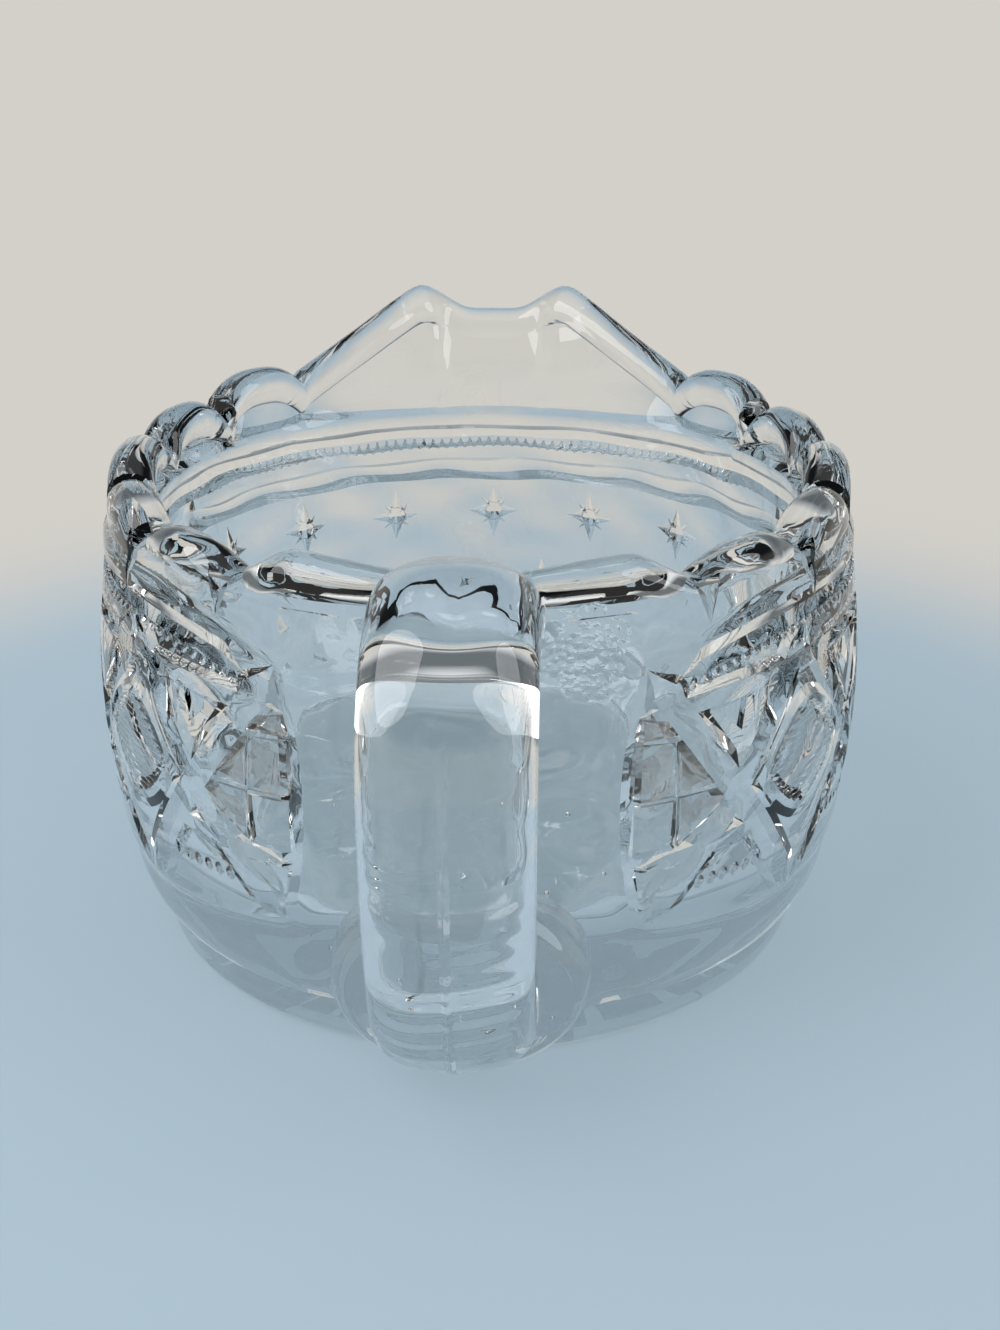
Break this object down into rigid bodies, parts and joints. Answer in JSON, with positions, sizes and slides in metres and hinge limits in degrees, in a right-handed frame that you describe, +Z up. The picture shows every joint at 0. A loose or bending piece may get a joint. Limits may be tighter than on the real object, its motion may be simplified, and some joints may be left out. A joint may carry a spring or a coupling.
{
  "type": "pressed glass cream jug",
  "caption": "Low round pressed glass cream jug with a scalloped rim, a flared pouring spout, cut-style pattern panels and a thick loop handle.",
  "frame": {"origin": "centre of the underside of the foot, on the table", "axes": "+Z up, +Y towards the pouring spout, -Y towards the handle, +X to the right seen from the handle"},
  "size_m": [0.0906, 0.1103, 0.0676],
  "materials": {
    "clear_glass": "fire-polished gloss"
  },
  "bodies": {
    "root": {"foot": "clear_glass", "bowl": "clear_glass", "front_panel": "clear_glass", "right_panel": "clear_glass", "left_panel": "clear_glass", "rim_collar": "clear_glass", "spout": "clear_glass", "handle": "clear_glass", "handle_pad": "clear_glass"}
  },
  "joints": []
}
